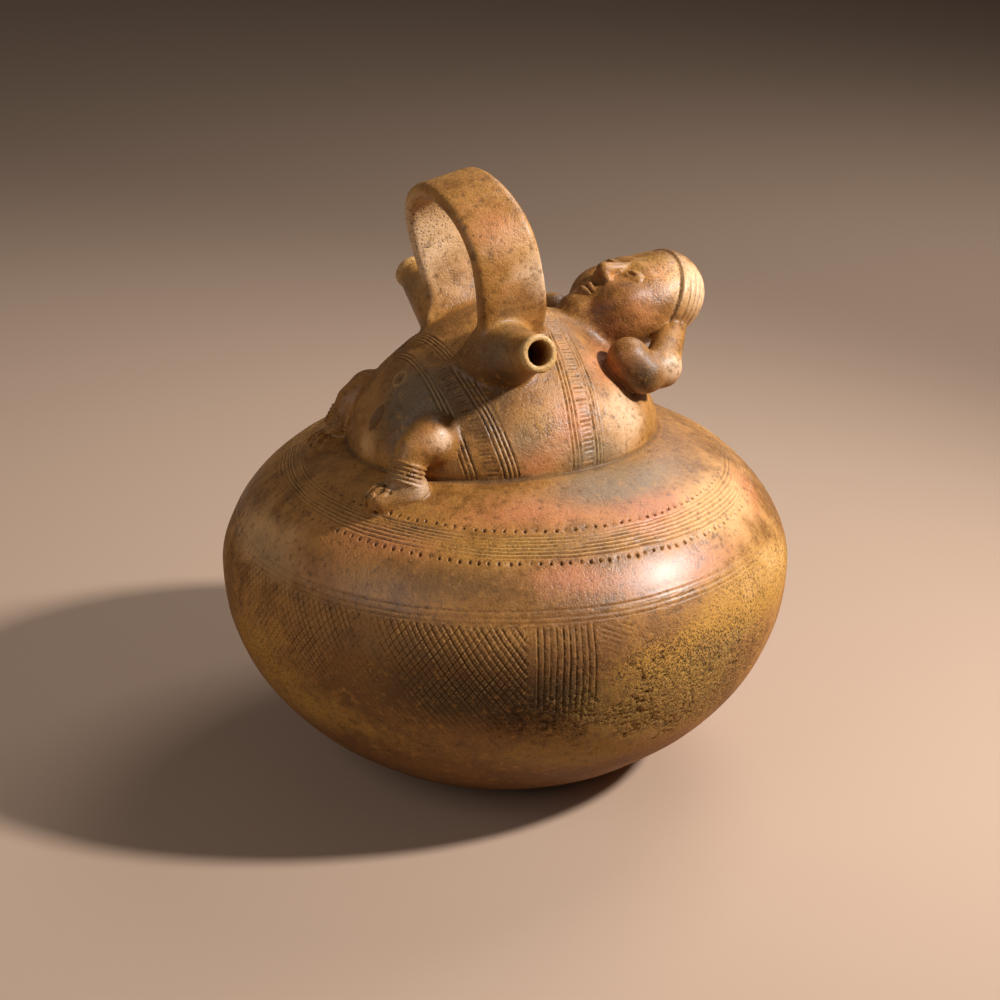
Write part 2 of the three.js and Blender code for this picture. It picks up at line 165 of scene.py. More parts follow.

# colour patches on the figure and the bridge, some of them painted light and shade: kind, middle in
# millimetres, spread, strength
FIGURE_PATCHES = (
    ("red", (26.0, -26.0, 143.0), 14.0, 0.7),
    ("red", (-44.0, -36.0, 135.0), 8.0, 0.5),
    ("red", (42.0, -12.0, 160.0), 14.0, 0.6),
    ("red", (-16.0, -24.0, 200.0), 12.0, 0.6),
    ("red", (-14.0, -30.0, 183.0), 7.0, 0.4),
    ("grey", (10.0, -48.0, 120.0), 13.0, 1.0),
    ("grey", (-14.0, -44.0, 132.0), 8.0, 0.6),
    ("grey", (-42.0, -14.0, 142.0), 16.0, 0.9),
    ("grey", (-54.0, -32.0, 118.0), 9.0, 0.8),
    ("grey", (-9.0, -33.0, 172.0), 8.0, 0.8),
    ("grey", (-22.0, -38.0, 160.0), 9.0, 0.7),
    ("grey", (-20.0, 40.0, 160.0), 12.0, 0.7),
    ("gold", (-7.0, -45.0, 138.0), 8.0, 0.6),
    ("red", (4.0, -46.0, 136.0), 11.0, 0.7),
    ("red", (-12.0, -47.0, 124.0), 9.0, 0.6),
    ("gold", (-18.0, 24.0, 196.0), 20.0, 1.0),
    ("gold", (-12.0, -31.0, 163.0), 7.0, 0.7),
    ("gold", (55.0, -8.0, 172.0), 12.0, 0.8),
    ("umber_and_painted_shade", (55.0, -11.0, 170.0), 11.0, 1.0),
    ("red", (56.0, -10.0, 171.0), 8.0, 0.6),
    # painted light on the lit hair and a painted reflection on the pelvis
    ("painted_light", (65.0, -12.0, 165.0), 12.0, 1.0),
    ("painted_light", (-56.0, -6.0, 125.0), 7.0, 0.6),
    # painted highlights and sheen on the lit inner side and right edge of the bridge, the hair, the right
    # chest, the elbow, the heel and the knee
    ("painted_highlight", (-18.0, 22.0, 184.0), 15.0, 1.0),
    ("painted_highlight", (67.0, -13.0, 164.0), 9.0, 0.9),
    ("painted_highlight", (26.0, -38.0, 132.0), 12.0, 0.7),
    ("painted_highlight", (48.0, -35.0, 145.0), 6.0, 0.8),
    ("painted_highlight", (4.0, -30.0, 184.0), 12.0, 1.0),
    ("painted_highlight", (-50.0, -38.0, 117.0), 7.0, 0.8),
    ("painted_highlight", (-41.0, -38.0, 135.0), 5.0, 0.8),
    # painted shadow on the shaded side of the near upper arm and under the near spout
    ("soot_and_painted_shadow", (33.0, -36.0, 143.0), 8.0, 0.8),
    ("soot_and_painted_shadow", (-20.0, -38.0, 150.0), 10.0, 0.8),
    # painted light on the lit bridge, right chest, elbow, knee and heel
    ("painted_light", (-18.0, 22.0, 188.0), 22.0, 1.0),
    ("painted_light", (-8.0, -28.0, 190.0), 13.0, 0.6),
    ("painted_light", (24.0, -36.0, 134.0), 11.0, 0.7),
    ("painted_light", (50.0, -28.0, 145.0), 8.0, 0.7),
    ("painted_light", (-43.0, -38.0, 135.0), 6.0, 0.5),
    ("painted_light", (-54.0, -37.0, 118.0), 6.0, 0.5),
    # painted shade on the shaded upper arm, under the head, on the torso left of the near spout and on
    # the belly
    ("umber_and_painted_shade", (34.0, -33.0, 145.0), 9.0, 1.0),
    ("umber_and_painted_shade", (30.0, -14.0, 152.0), 10.0, 0.9),
    ("umber_and_painted_shade", (-30.0, -24.0, 148.0), 13.0, 0.7),
    ("umber_and_painted_shade", (-46.0, -16.0, 134.0), 14.0, 1.0),
    ("umber_and_painted_shade", (-22.0, -32.0, 152.0), 13.0, 1.0),
    ("umber_and_painted_shade", (-27.0, -37.0, 137.0), 8.0, 0.8),
)
SPOUT_RIM = 5.0
SPOUT_RIM_RADIUS = 9.0

# clay colours, with the colours for painted light and painted shade
BROWN = (0.19, 0.075, 0.015, 1)
OCHRE = (0.36, 0.155, 0.032, 1)
# painted shade for the cut lines and pits, also the colour of the dark grit
GRIT_AND_GROOVE_SHADE = (0.04, 0.018, 0.005, 1)
BURR = (0.6, 0.36, 0.13, 1)
PATCH_COLOURS = {
    # dark umber, for the dark grain and for the painted shade
    "umber_and_painted_shade": (0.095, 0.04, 0.01, 1),
    "gold": (0.42, 0.205, 0.03, 1),
    "red": (0.46, 0.15, 0.055, 1),
    # colour of the painted light
    "painted_light": (0.66, 0.36, 0.14, 1),
    "grey": (0.15, 0.105, 0.06, 1),
    # colour of the painted highlights
    "painted_highlight": (0.68, 0.45, 0.28, 1),
    # colour of the fire-cloud soot and of the painted shadow
    "soot_and_painted_shadow": (0.035, 0.021, 0.006, 1),
    "olive": (0.31, 0.17, 0.033, 1),
}
GRAIN = {"cloud": (26.0, 4.0), "mottle": (95.0, 5.0), "fleck": (380.0, 4.0), "grit": (1400.0, 2.0)}
ROUGHNESS = {"low": 0.38, "high": 0.5}
ROUGHER = (("worn", 0.3), ("raw", 0.2), ("soot_and_painted_shadow", 0.2))
SHEEN = {"coat": 0.4, "coat_rough": 0.36, "specular": 0.3}
BUMP = {"strength": 0.7, "distance": 0.0006}
FLOOR = (0.39, 0.262, 0.182, 1)
FLOOR_CORNERS = ((-6, -6, 0), (6, -6, 0), (6, 12, 0), (-6, 12, 0))

CAMERA = {"azimuth": 26.5, "elevation": 21.82, "distance": 0.85, "aim_z": 0.1}
CAMERA_LENS = {"lens": 36 * 2.414, "shift_x": -0.005, "shift_y": -0.0206}

# studio light: a small key high on the right, a soft panel behind it, a broad weak fill on the left
LIGHT_AIM = (0.0, 0.0, 0.09)
KEY = {"way": (0.62, -0.496, 0.609), "distance": 1.0, "power": 73.0, "size": 0.05, "cone": 60.0}
TOP = {"at": (0.62, 0.3, 0.75), "power": 5.0, "size": 0.5}
FILL = {"at": (-0.9, -0.25, 0.6), "power": 3.0, "size": 0.7}
SKY = {"colour": (1.0, 0.93, 0.86, 1), "strength": 0.09}

GRID_STEP = 1.2
BLOCK = 6
BLOCKS_AT_ONCE = 400
GRID_LOW = (-104.0, -104.0, -4.0)
GRID_HIGH = (104.0, 104.0, 218.0)
REFINE_ROUNDS = 2
TRIANGLES = 196000
MM = 0.001

# carved zones of the bowl: z from and to, bearing from and to, rounds of refining
CARVED_BOWL = ((43, 94, -181, 181, 1), (48, 94, -62, 66, 2), (36, 60, 0, 56, 2))

rng = np.random.default_rng(41)
LATTICE = rng.random(4096)
DOT_RANDOM = rng.random((2, 400, 3))
PIT_RANDOM = rng.random((4096, 4))


# noise and small helpers

def lattice_value(ix, iy, iz):
    key = ix * 374761393 + iy * 668265263 + iz * 2147483647
    key = (key ^ (key >> 13)) * 1274126177
    return LATTICE[(key ^ (key >> 16)) & 4095]


def value_noise(p, size):
    q = p / size
    base = np.floor(q).astype(np.int64)
    f = q - base
    f = f * f * (3 - 2 * f)
    total = np.zeros(len(p))
    for corner in range(8):
        bits = (corner & 1, corner >> 1 & 1, corner >> 2)
        weight = np.ones(len(p))
        for axis in range(3):
            weight *= f[:, axis] if bits[axis] else 1 - f[:, axis]
        cell = [base[:, axis] + bits[axis] for axis in range(3)]
        total += weight * lattice_value(*cell)
    return 2 * total - 1


def layered_noise(p, size, layers=3):
    total = np.zeros(len(p))
    for layer in range(layers):
        total += value_noise(p + 17.3 * layer, size / 2 ** layer) / 2 ** layer
    return total


def smooth_step(low, high, value):
    t = np.clip((value - low) / (high - low), 0, 1)
    return t * t * (3 - 2 * t)


def line_cut(distance, width):
    return np.exp(-(distance / (0.5 * width)) ** 2)


def incised(distance, width):
    crest = line_cut(np.abs(distance) - 0.95 * width, 0.9 * width)
    return line_cut(distance, width) - 0.35 * crest


def bearing(p):
    turn = math.radians(CAMERA["azimuth"])
    right = p[:, 0] * math.cos(turn) - p[:, 1] * math.sin(turn)
    toward = -p[:, 0] * math.sin(turn) - p[:, 1] * math.cos(turn)
    return np.degrees(np.arctan2(right, toward))


# distances to simple forms

def smooth_union(a, b, k):
    h = np.clip(0.5 + 0.5 * (b - a) / k, 0, 1)
    return b + (a - b) * h - k * h * (1 - h)


def smooth_cut(a, b, k):
    return -smooth_union(-a, -b, k)


def ball(p, at, radius):
    return np.linalg.norm(p - np.array(at), axis=1) - radius


def limb(p, start, end):
    a = np.array(start[:3])
    along = np.array(end[:3]) - a
    share = np.clip((p - a) @ along / (along @ along), 0, 1)
    radius = start[3] + (end[3] - start[3]) * share
    return np.linalg.norm(p - a - share[:, None] * along, axis=1) - radius


def ellipsoid(p, at, size):
    q = (p - np.array(at)) / np.array(size)
    reach = np.linalg.norm(q, axis=1)
    slope = np.linalg.norm(q / np.array(size), axis=1) + 1e-9
    return reach * (reach - 1) / slope


def mirrored(p):
    q = p.copy()
    q[:, 1] = -np.abs(q[:, 1])
    return q


# the turned bowl and the torso dome, drawn in by an inset for the inside

def bowl_distance(p, inset=0.0):
    radius = BOWL["radius"] - inset
    r = np.hypot(p[:, 0], p[:, 1]) + 1e-6
    drop = p[:, 2] - BOWL["widest_z"]
    upper = drop >= 0
    reach = np.where(upper, BOWL["rise"], BOWL["widest_z"] + BOWL["sink"]) - inset
    n = np.where(upper, BOWL_POWER["upper_n"], BOWL_POWER["lower_n"])
    m = np.where(upper, BOWL_POWER["upper_m"], BOWL_POWER["lower_m"])
    t = np.abs(drop) / reach + 1e-6
    side = (r / radius) ** n
    rise = t ** m
    slope = np.hypot(n * side / r, m * rise / (t * reach))
    floor = inset - p[:, 2]
    return smooth_cut((side + rise - 1) / slope, floor, BOWL["base_round"])


def torso_distance(p, inset=0.0):
    power = TORSO["power"]
    x = (p[:, 0] - TORSO["x"]) / (TORSO["length"] - inset)
    y = p[:, 1] / (TORSO["width"] - inset)
    height = TORSO["height"] - inset
    t = np.maximum(p[:, 2] - TORSO["z"], 0) / height + 1e-6
    q = np.hypot(x, y) + 1e-6
    across = np.hypot(x / (TORSO["length"] - inset), y / (TORSO["width"] - inset)) / q
    side = q ** power
    rise = t ** power
    slope = np.hypot(power * side / q * across, power * rise / t / height) + 1e-9
    return np.maximum((side + rise - 1) / slope, 100 - p[:, 2])


def spout_x(side):
    return SPOUT["x"] + (SPOUT["left_shift"] if side > 0 else 0)


def spout_axes(p, side):
    tilt = math.radians(SPOUT["tilt"])
    out = np.array((0.0, side * math.cos(tilt), math.sin(tilt)))
    from_mouth = p - np.array((spout_x(side), side * SPOUT["y"], SPOUT["z"]))
    along = from_mouth @ out
    radial = np.linalg.norm(from_mouth - along[:, None] * out, axis=1)
    return along, radial


def spout_distance(p, side):
    along, radial = spout_axes(p, side)
    share = np.clip((along + SPOUT["root"]) / SPOUT["length"], 0, 1)
    lip_radius = SPOUT_SKIN["mouth"] - SPOUT_LIP["neck"]
    base = SPOUT_SKIN["left_base"] if side > 0 else SPOUT_SKIN["base"]
    radius = base + (lip_radius - base) * share ** SPOUT_SKIN["flare"]
    past_lip = np.maximum(np.abs(along + SPOUT_LIP["back"]) - SPOUT_LIP["half"], 0)
    lip = np.hypot(past_lip, radial - SPOUT_SKIN["mouth"] + SPOUT_LIP["round"])
    skin = smooth_cut((radial - radius) * SPOUT_SKIN["slant"], along + SPOUT_LIP["cut"], 1.0)
    skin = smooth_cut(skin, -along - SPOUT["root"], 1.0)
    skin = smooth_union(skin, lip - SPOUT_LIP["round"], 1.2)
    return smooth_cut(skin, -arch_distance(leaned(p), STRAP["thickness"]), 0.6)


def bore_distance(p, side):
    along, radial = spout_axes(p, side)
    tilt = math.radians(SPOUT["tilt"])
    share = np.clip(-along / BORE["turn_at"], 0, 1)
    straight = radial - BORE["mouth"] - (BORE["turn"] - BORE["mouth"]) * share
    straight = np.maximum(straight, -along - BORE["turn_at"])
    deep = BORE["turn_at"]
    turn_y = side * (SPOUT["y"] - deep * math.cos(tilt))
    turn = (spout_x(side), turn_y, SPOUT["z"] - deep * math.sin(tilt), BORE["turn"])
    root = (BORE_ROOT["x"], side * BORE_ROOT["y"], BORE_ROOT["z"], BORE["root"])
    return np.minimum(straight, limb(p, turn, root))


def arch_distance(p, inset):
    half = ARCH["half_span"] - inset
    z = p[:, 2] - ARCH["shoulder_z"]
    tall = np.where(z > 0, ARCH["crown"], ARCH["leg_drop"]) - np.where(z > 0, inset, 0)
    q = np.hypot(p[:, 1] / half, z / tall) + 1e-6
    slope = np.hypot(p[:, 1] / half ** 2, z / tall ** 2) / q + 1e-9
    return (q - 1) / slope


def leaned(p):
    lean = math.radians(STRAP["lean"])
    x = p[:, 0] - STRAP["x"]
    z = p[:, 2] - ARCH["foot_z"]
    across = x * math.cos(lean) + z * math.sin(lean)
    up = z * math.cos(lean) - x * math.sin(lean) + ARCH["foot_z"]
    return np.stack((across, p[:, 1], up), axis=1)


def strap_distance(p):
    p = leaned(p)
    band = smooth_cut(arch_distance(p, 0.0), -arch_distance(p, STRAP["thickness"]), 0.6)
    top = ARCH["shoulder_z"] + ARCH["crown"]
    share = np.clip((p[:, 2] - ARCH["foot_z"]) / (top - ARCH["foot_z"]), 0, 1)
    half = 0.5 * STRAP["width"] * (1 + (STRAP["crown_share"] - 1) * share)
    trim = LEFT_FOOT_TRIM * (1 - share) * ((p[:, 1] > 0) & (p[:, 0] < 0))
    sides = np.abs(p[:, 0]) + trim - half
    strap = smooth_cut(band, sides, 2 * STRAP["round"])
    return np.maximum(strap, ARCH["foot_z"] - p[:, 2])


# the figure

def leg_distance(p):
    q = p.copy()
    left = p[:, 1] > 0
    q[left] -= np.array(LEFT_LEG_SHIFT)
    q = mirrored(q)
    thigh = limb(q, HIP, KNEE)
    shin = limb(q, SHIN_TOP, ANKLE)
    foot = smooth_union(limb(q, HEEL, TOES), limb(q, ANKLE, HEEL), 2.0)
    foot = np.maximum(foot, toe_slits(q))
    leg = smooth_union(thigh, smooth_union(shin, anklet_distance(q), 0.4), 2.5)
    return smooth_union(leg, foot, 1.6)


def anklet_distance(q):
    low = np.array(ANKLE[:3])
    up = np.array(SHIN_TOP[:3]) - low
    up = up / np.linalg.norm(up)
    from_low = q - low
    tall = ANKLET["rings"] * ANKLET["pitch"]
    along = from_low @ up - ANKLET["raise"] + 0.5 * tall
    radial = np.linalg.norm(from_low - (from_low @ up)[:, None] * up, axis=1)
    ring = np.cos(2 * math.pi * (along / ANKLET["pitch"] - 0.5))
    skin = radial - ANKLET["radius"] - ANKLET["swell"] * ring
    return np.maximum(0.8 * skin, np.abs(along - 0.5 * tall) - 0.5 * tall)


def toe_slits(q):
    heel = np.array(HEEL[:3])
    forward = np.array(TOES[:3]) - heel
    reach = np.linalg.norm(forward)
    forward = forward / reach
    across = np.array((-forward[1], forward[0], 0.0))
    from_heel = q - heel
    along = from_heel @ forward
    side = from_heel @ across
    slits = np.full(len(q), -50.0)
    for i in range(TOE_SLIT["count"]):
        place = (i - 0.5 * (TOE_SLIT["count"] - 1)) * TOE_SLIT["pitch"]
        slit = 0.5 * TOE_SLIT["width"] - np.abs(side - place)
        slit = np.minimum(slit, along - reach + TOE_SLIT["back"])
        slits = np.maximum(slits, slit)
    skin = limb(q, HEEL, TOES) + TOE_SLIT["depth"]
    return np.minimum(slits, skin + TOE_SLIT["depth"] * 0.2)


def arm_distance(p):
    q = mirrored(p)
    lower = smooth_union(limb(q, ELBOW, FOREARM), limb(q, FOREARM, HAND), 2.0)
    return smooth_union(limb(q, SHOULDER, ELBOW), lower, 1.2)


def head_axes(p):
    rise = math.radians(HEAD["rise"])
    x = p[:, 0] - HEAD["x"]
    z = p[:, 2] - HEAD["z"]
    u = x * math.cos(rise) + z * math.sin(rise)
    n = z * math.cos(rise) - x * math.sin(rise)
    return np.stack((u, p[:, 1], n), axis=1)


def hair_edge(h):
    return (h[:, 0] - HAIR["edge"] - HAIR["slope"] * h[:, 2]) / math.hypot(1, HAIR["slope"])


def hair_distance(h):
    cap = ellipsoid(h, HAIR["at"], HAIR["size"])
    return smooth_cut(cap, -hair_edge(h), 0.8)


def face_distance(h):
    half = h.copy()
    half[:, 1] = np.abs(half[:, 1])
    skull = ellipsoid(h, (0, 0, 0), HEAD["size"])
    skull = smooth_cut(skull, h[:, 2] - HEAD["flat"], 4.0)
    face = smooth_union(skull, ellipsoid(half, CHEEK["at"], CHEEK["size"]), 4.0)
    face = smooth_union(face, ellipsoid(h, CHIN["at"], CHIN["size"]), 3.0)
    inner = (BROW["u"], 0.0, BROW["n"], BROW["radius"])
    outer = (BROW["u"] - 1.2, BROW["w"], BROW["n"] - 1.6, BROW["radius"])
    face = smooth_union(face, limb(half, inner, outer), 3.0)
    nose = limb(h, NOSE["top"], NOSE["tip"])
    wing = ball(half, NOSE["wing"][:3], NOSE["wing"][3])
    face = smooth_union(face, smooth_union(nose, wing, 1.0), 1.4)
    face = smooth_union(face, ellipsoid(half, EYE["at"], EYE["size"]), 0.8)
    for place in (LIPS["upper"], LIPS["lower"]):
        middle = (place, 0.0, LIPS["n"], LIPS["radius"])
        corner = (0.5 * (LIPS["upper"] + LIPS["lower"]), LIPS["half"], LIPS["n"] - 0.9, 0.7)
        face = smooth_union(face, limb(half, middle, corner), 0.8)
    lid = np.abs(h[:, 0] - EYE["at"][0] + 0.5 - 0.03 * (half[:, 1] - EYE["at"][1]) ** 2) - 0.42
    lid = np.maximum(lid, np.abs(half[:, 1] - EYE["at"][1]) - 4.3)
    slit = np.abs(h[:, 0] - 0.5 * (LIPS["upper"] + LIPS["lower"])) - 0.35
    slit = np.maximum(slit, half[:, 1] - LIPS["half"] - 0.6)
    carve = np.maximum(np.minimum(lid, slit), -face - 0.9)
    carve = np.maximum(carve, 8 - h[:, 2])
    return smooth_cut(face, -carve, 0.4)


def head_distance(p):
    h = head_axes(p)
    return smooth_union(face_distance(h), hair_distance(h), 0.5)


# each form: its distance, the corners of the box it fills, and how softly it runs into the rest
FORMS = (
    (lambda p: spout_distance(p, -1), (-34, -55, 138), (8, -10, 182), 1.6),
    (lambda p: spout_distance(p, 1), (-34, 10, 138), (8, 55, 182), 1.6),
    (strap_distance, (-36, -33, 150), (14, 33, 216), 3.6),
    (leg_distance, (-68, -48, 106), (-12, 48, 146), 1.4),
    (lambda p: limb(p, *NECK), (4, -16, 126), (58, 16, 172), 4.0),
    (head_distance, (18, -24, 138), (82, 24, 186), 1.6),
    (arm_distance, (14, -40, 132), (70, 40, 160), 1.2),
)
REACH = 9.0
TORSO_REACH = 20.0
TORSO_SOFT = 1.6


def skin_distance(p):
    total = bowl_distance(p)
    upper = p[:, 2] > TORSO["z"] - TORSO_REACH
    if upper.any():
        total[upper] = smooth_union(total[upper], torso_distance(p[upper]), TORSO_SOFT)
    for distance, low, high, soft in FORMS:
        inside = np.all((p > np.array(low) - REACH) & (p < np.array(high) + REACH), axis=1)
        if inside.any():
            total[inside] = smooth_union(total[inside], distance(p[inside]), soft)
    return total


def hollow_distance(p):
    inside = bowl_distance(p, WALL)
    upper = p[:, 2] > TORSO["z"] - TORSO_REACH
    if upper.any():
        inside[upper] = np.minimum(inside[upper], torso_distance(p[upper], WALL))
    near = p[:, 2] > 130
    if near.any():
        bores = np.minimum(bore_distance(p[near], -1), bore_distance(p[near], 1))
        inside[near] = np.minimum(inside[near], bores)
    return inside


def vessel_distance(p):
    total = skin_distance(p)
    deep = (total < -0.4 * WALL) | (p[:, 2] > 140)
    if deep.any():
        total[deep] = np.maximum(total[deep], -hollow_distance(p[deep]))
    return total


def gradient(p, step=0.05):
    slope = np.zeros_like(p)
    for corner in ((1, -1, -1), (-1, -1, 1), (-1, 1, -1), (1, 1, 1)):
        way = np.array(corner, dtype=float)
        slope += vessel_distance(p + step * way)[:, None] * way
    return slope / (np.linalg.norm(slope, axis=1)[:, None] + 1e-12)


# incised and worn relief, as heights along the surface normal

def ring_relief(p):
    x = p[:, 0] - RING_CENTRE[0]
    y = p[:, 1] - RING_CENTRE[1]
    r = np.hypot(x, y)
    angle = np.arctan2(y, x) % (2 * math.pi)
    wobble = 0.3 * value_noise(p, 22.0) + 0.12 * value_noise(p, 5.0)
    height = np.zeros(len(p))
    for i in range(COMB["count"]):
        own = 0.2 * np.sin(angle * (2 + i) + 1.7 * i)
        place = COMB["first"] + i * COMB["pitch"]
        fade = 0.45 + 0.55 * smooth_step(-0.6, 0.1, value_noise(p + 5 * i, 15.0))
        height -= COMB["depth"] * fade * incised(r - place - wobble - own, COMB["width"])
    for k, ring in enumerate(DOT_RINGS):
        count = round(2 * math.pi * ring / DOT["pitch"])
        spacing = 2 * math.pi / count
        index = np.floor(angle / spacing).astype(np.int64) % count
        chance = DOT_RANDOM[k, index]
        middle = (index + 0.5 + 0.2 * (chance[:, 0] - 0.5)) * spacing
        off = np.hypot((angle - middle) * ring, r - ring - 0.4 * (chance[:, 1] - 0.5) - wobble)
        depth = DOT["depth"] * (0.35 + 0.65 * smooth_step(0.05, 0.3, chance[:, 2]))
        size = DOT["radius"] * (0.85 + 0.25 * chance[:, 1])
        height -= depth * (1 - smooth_step(0.45, 1.0, off / size))
        height += 0.08 * depth * line_cut(off / size - 1.25, 0.5)
    return height


def panel_list():
    made = list(PANELS)
    step = (BACK_PANELS["to"] - BACK_PANELS["from"]) / BACK_PANELS["count"]
    for i in range(BACK_PANELS["count"]):
        start = BACK_PANELS["from"] + i * step
        lean = BACK_PANEL_ANGLES[i % len(BACK_PANEL_ANGLES)]
        end = start + step - BACK_PANELS["gap"]
        made.append((start, end, *BACK_HATCH["z"], lean, BACK_HATCH["pitch"], BACK_HATCH["depth"]))
    return made


def hatch_relief(p):
    turn = bearing(p)
    z = p[:, 2]
    height = np.zeros(len(p))
    wobble = 0.3 * value_noise(p, 14.0) + 0.1 * value_noise(p, 4.0)
    faint = 1 - 0.55 * smooth_step(0.1, 0.8, layered_noise(p + 31, 24.0, 2))
    for start, end, low, high, lean, pitch, depth in panel_list():
        inside = (turn - start) % 360
        near = (inside < end - start) & (z > low - 1) & (z < high + 1)
        if not near.any():
            continue
        arc = np.radians(inside[near]) * BOWL["radius"]
        angle = math.radians(lean)
        across = arc * math.sin(angle) - (z[near] - high) * math.cos(angle) + wobble[near]
        cell = across / pitch
        index = np.round(cell).astype(np.int64)
        stroke = LATTICE[(index * 7 + int(start) * 3 + int(lean)) & 4095]
        off = (cell - index) * pitch - 0.3 * (stroke - 0.5)
        room = smooth_step(0, 1.2, arc) * smooth_step(0, 1.2, math.radians(end - start) * 100 - arc)
        room *= smooth_step(low - 0.6, low + 5 + 8 * stroke, z[near])
        room *= smooth_step(high + 0.4, high - 0.6, z[near])
        height[near] -= depth * (0.6 + 0.5 * stroke) * room * faint[near] * incised(off, HATCH_WIDTH)
    for line in BELT_LINES:
        own = 0.3 * value_noise(p + line, 30.0) + 0.1 * value_noise(p, 6.0)
        fade = 0.35 + 0.65 * smooth_step(-0.5, 0.0, value_noise(p + 2 * line, 26.0))
        height -= BELT["depth"] * fade * incised(z - line - own, BELT["width"])
    return height


def worn_share(p):
    turn = bearing(p)
    patch = np.zeros(len(p))
    for way, z, wide, tall, strength in WORN_PATCHES:
        own = strength * np.exp(-((turn - way) / wide) ** 2 - ((p[:, 2] - z) / tall) ** 2)
        patch = np.maximum(patch, own)
    return patch * smooth_step(-1.0, 0.0, layered_noise(p, 13.0, 3))


def pit_relief(p, share, pits):
    height = np.zeros(len(p))
    near = share > 0.05
    if not near.any():
        return height
    size = pits["size"]
    q = p[near] / np.array((size, size, 0.7 * size))
    base = np.floor(q).astype(np.int64)
    cut = np.zeros(len(q))
    for corner in range(27):
        cell = base + np.array((corner % 3 - 1, corner // 3 % 3 - 1, corner // 9 - 1))
        key = (cell[:, 0] * 73856093) ^ (cell[:, 1] * 19349663) ^ (cell[:, 2] * 83492791)
        chance = PIT_RANDOM[(key ^ (key >> 11)) & 4095]
        off = np.linalg.norm(q - cell - chance[:, :3], axis=1)
        reach = 0.25 + 0.45 * chance[:, 3]
        cut = np.maximum(cut, (chance[:, 3] > 0.3) * (1 - smooth_step(0.2, 1.0, off / reach)))
    height[near] = -pits["depth"] * cut * np.minimum(1, 1.8 * share[near])
    return height


def band_relief(p, band):
    lean = math.atan2(band["lean"], BAND_LEAN_HEIGHT)
    middle = TORSO["z"] + 0.5 * TORSO["height"]
    across = (p[:, 0] - band["x"]) * math.cos(lean) + (p[:, 2] - middle) * math.sin(lean)
    turn = np.arctan2(p[:, 2] - TORSO["z"], np.abs(p[:, 1]) + 1e-6)
    narrow = 1 - BAND["narrow"] * smooth_step(0.3, 1.5, turn)
    across = across / narrow + 0.25 * value_noise(p, 9.0)
    height = np.zeros(len(p))
    for i, line in enumerate(band["lines"]):
        broken = 0.5 + 0.5 * smooth_step(-0.5, 0.1, value_noise(p + 7.7 * i, 11.0))
        height -= BAND["depth"] * broken * incised(across - line, BAND["width"])
    along = turn * 0.5 * (TORSO["width"] + TORSO["height"])
    cell = along / BAND_RUNG["pitch"] + 0.2 * value_noise(p + 3, 6.0)
    index = np.round(cell).astype(np.int64)
    chance = LATTICE[(index * 13 + 5) & 4095]
    half = BAND_RUNG["half"] * (0.65 + 0.35 * chance)
    rung = line_cut((cell - index) * BAND_RUNG["pitch"], BAND_RUNG["width"])
    rung *= smooth_step(half + 0.4, half - 0.3, np.abs(across))
    return height - BAND_RUNG["depth"] * (0.4 + 0.6 * chance) * rung


def navel_relief(p):
    off = np.linalg.norm(p - np.array(NAVEL["at"]), axis=1)
    ring = NAVEL_CUT["rim"] * line_cut(off - NAVEL["radius"], NAVEL_CUT["rim_width"])
    ring = ring - NAVEL_CUT["dip"] * line_cut(off, NAVEL_CUT["dip_width"])
    mark = p - np.array(OVAL_MARK["at"])
    oval = np.hypot(mark[:, 1] / OVAL_MARK["half"], mark[:, 2] / OVAL_MARK["tall"])
    return ring - OVAL_MARK["depth"] * (1 - smooth_step(0.3, 1.1, oval))


def joint_relief(p):
    return -JOINT["depth"] * line_cut(np.hypot(bowl_distance(p), torso_distance(p)), JOINT["width"])


def hair_relief(p):
    h = head_axes(p)
    edge = hair_edge(h)
    side = smooth_step(10, 13, np.abs(h[:, 1])) * smooth_step(7, 3, h[:, 2])
    height = -HAIR_CUT["edge"] * line_cut(edge - 0.3, HAIR_CUT["edge_width"])
    for i, stroke in enumerate(HAIR_STROKES):
        bend = HAIR_CUT["bend"] * (np.abs(h[:, 1]) - 12 - 2 * i) ** 2
        height -= HAIR_CUT["stroke"] * side * line_cut(edge - stroke - bend, HAIR_CUT["stroke_width"])
    return height * (edge > -0.8)


def relief(p):
    on_skin = smooth_step(2.5, 1.5, np.abs(skin_distance(p)))
    bowl = bowl_distance(p)
    torso = torso_distance(p)
    on_bowl = on_skin * smooth_step(0.5, 0.15, np.abs(bowl)) * smooth_step(-0.2, 1.2, torso)
    on_torso = on_skin * smooth_step(0.5, 0.15, np.abs(torso)) * smooth_step(0.2, 1.5, bowl)
    on_head = on_skin * smooth_step(1.4, 0.6, np.abs(head_distance(p))) * (p[:, 0] > 30)
    height = np.zeros(len(p))
    jobs = (
        (on_bowl * (p[:, 2] > FIGURE_Z), ring_relief),
        (on_bowl * (p[:, 2] < FIGURE_Z), hatch_relief),
        (on_torso, lambda q: band_relief(q, WAIST_BAND)),
        (on_torso, lambda q: band_relief(q, CHEST_BAND)),
        (on_torso * (p[:, 0] < -30), navel_relief),
        (on_skin * (p[:, 2] > JOINT["low"]) * (p[:, 2] < JOINT["high"]), joint_relief),
        (on_head, hair_relief),
    )
    for share, job in jobs:
        near = share > 0.01
        if near.any():
            height[near] += share[near] * job(p[near])
    worn = worn_share(p) * on_bowl
    height = height * (1 - 0.5 * worn) + pit_relief(p, worn, FINE_PITS)
    clusters = smooth_step(-0.2, 0.4, value_noise(p + 9, COARSE_PITS["spread"]))
    height += pit_relief(p + 50, worn * clusters, COARSE_PITS)
    return height, worn


def unevenness(p):
    on_skin = smooth_step(2.5, 1.5, np.abs(skin_distance(p)))
    return on_skin * UNEVEN["height"] * value_noise(p, UNEVEN["size"]) * smooth_step(1.5, 6, p[:, 2])


